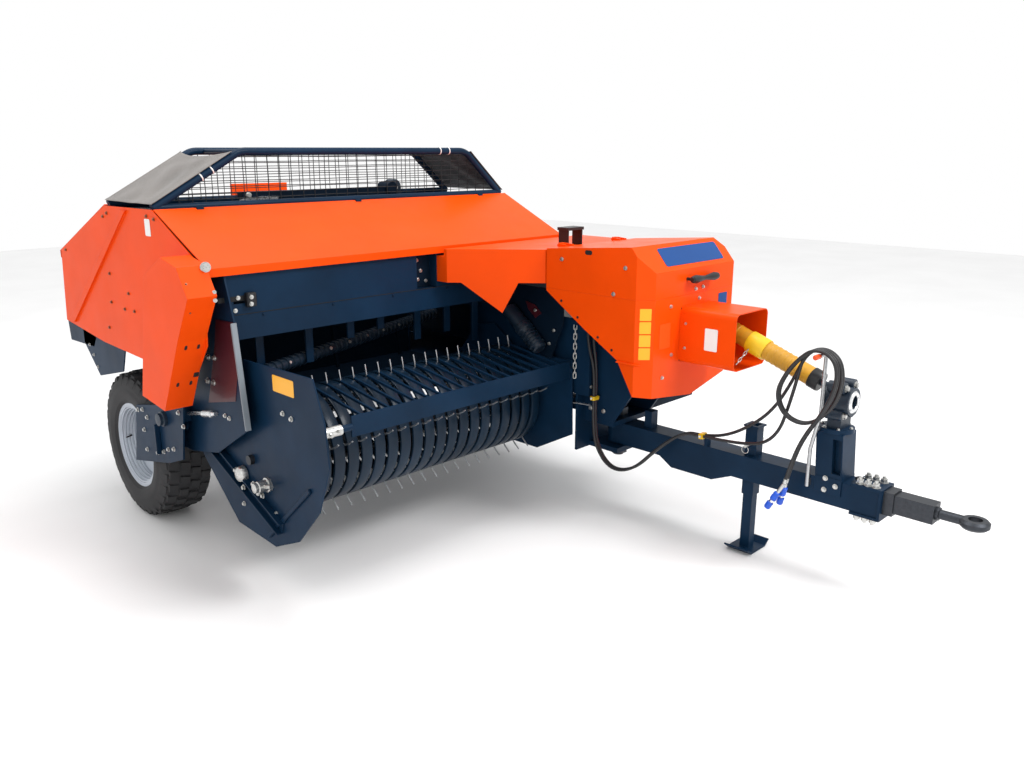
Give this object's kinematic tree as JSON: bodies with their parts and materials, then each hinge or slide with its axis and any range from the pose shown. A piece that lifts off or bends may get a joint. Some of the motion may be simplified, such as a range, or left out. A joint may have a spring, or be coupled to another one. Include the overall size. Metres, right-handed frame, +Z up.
{
  "type": "square baler",
  "caption": "Towed square baler with a side pickup, feeder under a mesh cage, long bale chamber, folded chute, swinging tongue and guarded drive shaft.",
  "frame": {"origin": "on the ground, at the centre of the overall box", "axes": "+Y to the rear, hitch to -Y, pickup at the front on the -X side, +Z up"},
  "size_m": [2.597, 5.196, 1.759],
  "materials": {
    "orange_paint": "gloss, sun-lit orange",
    "dark_paint": "semi-gloss, blue-black",
    "silver_paint": "satin silver",
    "steel": "bright worn steel",
    "dark_steel": "dark oiled steel",
    "tyre_rubber": "matt black",
    "yellow_plastic": "moulded yellow",
    "cast": "painted casting",
    "canvas": "coated canvas",
    "hose_rubber": "smooth black",
    "blue_plastic": "blue caps"
  },
  "bodies": {
    "baler": {"axle": "dark_paint", "bale_chamber": "dark_paint", "cage_apron_left": "canvas", "cage_apron_right": "canvas", "cage_frame": "dark_paint", "cage_mesh_front": "steel", "cage_mesh_rear": "steel", "chain_guard": "orange_paint", "crank_cover": "orange_paint", "drive_tunnel": "orange_paint", "end_panel": "orange_paint", "feeder_back": "dark_paint", "feeder_deck": "dark_paint", "feeder_end": "dark_paint", "feeder_floor": "dark_paint", "feeder_header": "dark_paint", "feeder_side": "dark_paint", "gearbox": "cast", "gearbox_stand": "dark_paint", "hood": "orange_paint", "hose_rear": "hose_rubber", "knotters": "steel", "main_frame": "dark_paint", "needles": "steel", "packer": "dark_steel", "pivot_pin": "dark_steel", "tension_frame": "dark_paint", "twine_box": "dark_paint", "wheel_bracket": "dark_paint"},
    "tongue": {"tongue": "dark_paint", "hitch_bracket": "dark_paint", "hitch_eye": "dark_steel", "pto_tower": "dark_paint", "pto_head": "cast", "jack_sleeve": "dark_paint", "hose_hook": "steel", "hose_front": "hose_rubber", "hose_couplings": "blue_plastic"},
    "jack": {"jack_leg": "dark_paint"},
    "pto_shaft": {"pto_guard": "yellow_plastic", "pto_joint": "dark_steel"},
    "flywheel": {"flywheel": "cast"},
    "right_wheel": {"right_tyre": "tyre_rubber", "right_wheel": "silver_paint"},
    "left_wheel": {"left_tyre": "tyre_rubber", "left_wheel": "silver_paint"},
    "pickup": {"pickup_side_outer": "dark_paint", "pickup_side_inner": "dark_paint", "pickup_arm": "dark_paint", "pickup_strippers": "dark_steel", "wind_guard": "steel"},
    "reel": {"pickup_reel": "steel"},
    "front_cover": {"sloping_cover": "orange_paint"},
    "hood_lid": {"hood_lid": "orange_paint"},
    "twine_lid": {"twine_lid": "orange_paint"},
    "chute": {"bale_chute": "orange_paint"},
    "star_wheel": {"star_wheel": "steel"}
  },
  "joints": [
    {"name": "tongue_swing", "type": "hinge", "parent": "baler", "child": "tongue", "pos_m": [0.65, -0.862, 0.391], "axis": [0, 0, 1], "range_deg": [-10, 0]},
    {"name": "jack_slide", "type": "slide", "parent": "tongue", "child": "jack", "axis": [0, 0, 1], "range_m": [0, 0.25]},
    {"name": "pto_swing", "type": "hinge", "parent": "baler", "child": "pto_shaft", "pos_m": [0.65, -1.38, 1.015], "axis": [0, 0, 1], "range_deg": [-20, 0]},
    {"name": "flywheel_spin", "type": "hinge", "parent": "baler", "child": "flywheel", "pos_m": [0.65, -1.16, 1.015], "axis": [0, 1, 0], "continuous": true},
    {"name": "right_wheel_spin", "type": "hinge", "parent": "baler", "child": "right_wheel", "pos_m": [-1.03, 0.7, 0.36], "axis": [1, 0, 0], "continuous": true},
    {"name": "left_wheel_spin", "type": "hinge", "parent": "baler", "child": "left_wheel", "pos_m": [1.152, 0.7, 0.38], "axis": [1, 0, 0], "continuous": true},
    {"name": "pickup_lift", "type": "hinge", "parent": "baler", "child": "pickup", "pos_m": [-1.063, 0.16, 0.58], "axis": [1, 0, 0], "range_deg": [0, 17]},
    {"name": "reel_spin", "type": "hinge", "parent": "pickup", "child": "reel", "pos_m": [-0.32, -0.32, 0.53], "axis": [1, 0, 0], "continuous": true},
    {"name": "cover_open", "type": "hinge", "parent": "baler", "child": "front_cover", "pos_m": [-0.2, 0.118, 1.509], "axis": [1, 0, 0], "range_deg": [-75, 0]},
    {"name": "hood_lid_open", "type": "hinge", "parent": "baler", "child": "hood_lid", "pos_m": [0.6, -0.689, 1.317], "axis": [1, 0, 0], "range_deg": [-70, 0]},
    {"name": "twine_lid_open", "type": "hinge", "parent": "baler", "child": "twine_lid", "pos_m": [-0.7, 0.632, 1.509], "axis": [1, 0, 0], "range_deg": [0, 75]},
    {"name": "chute_fold", "type": "hinge", "parent": "baler", "child": "chute", "pos_m": [0.68, 2.59, 0.585], "axis": [1, 0, 0], "range_deg": [-90, 0]},
    {"name": "star_spin", "type": "hinge", "parent": "baler", "child": "star_wheel", "pos_m": [0.68, 1.29, 1.026], "axis": [1, 0, 0], "continuous": true}
  ],
  "couplings": [
    {"joint": "pto_swing", "follows": "tongue_swing", "ratio": 1.98}
  ]
}
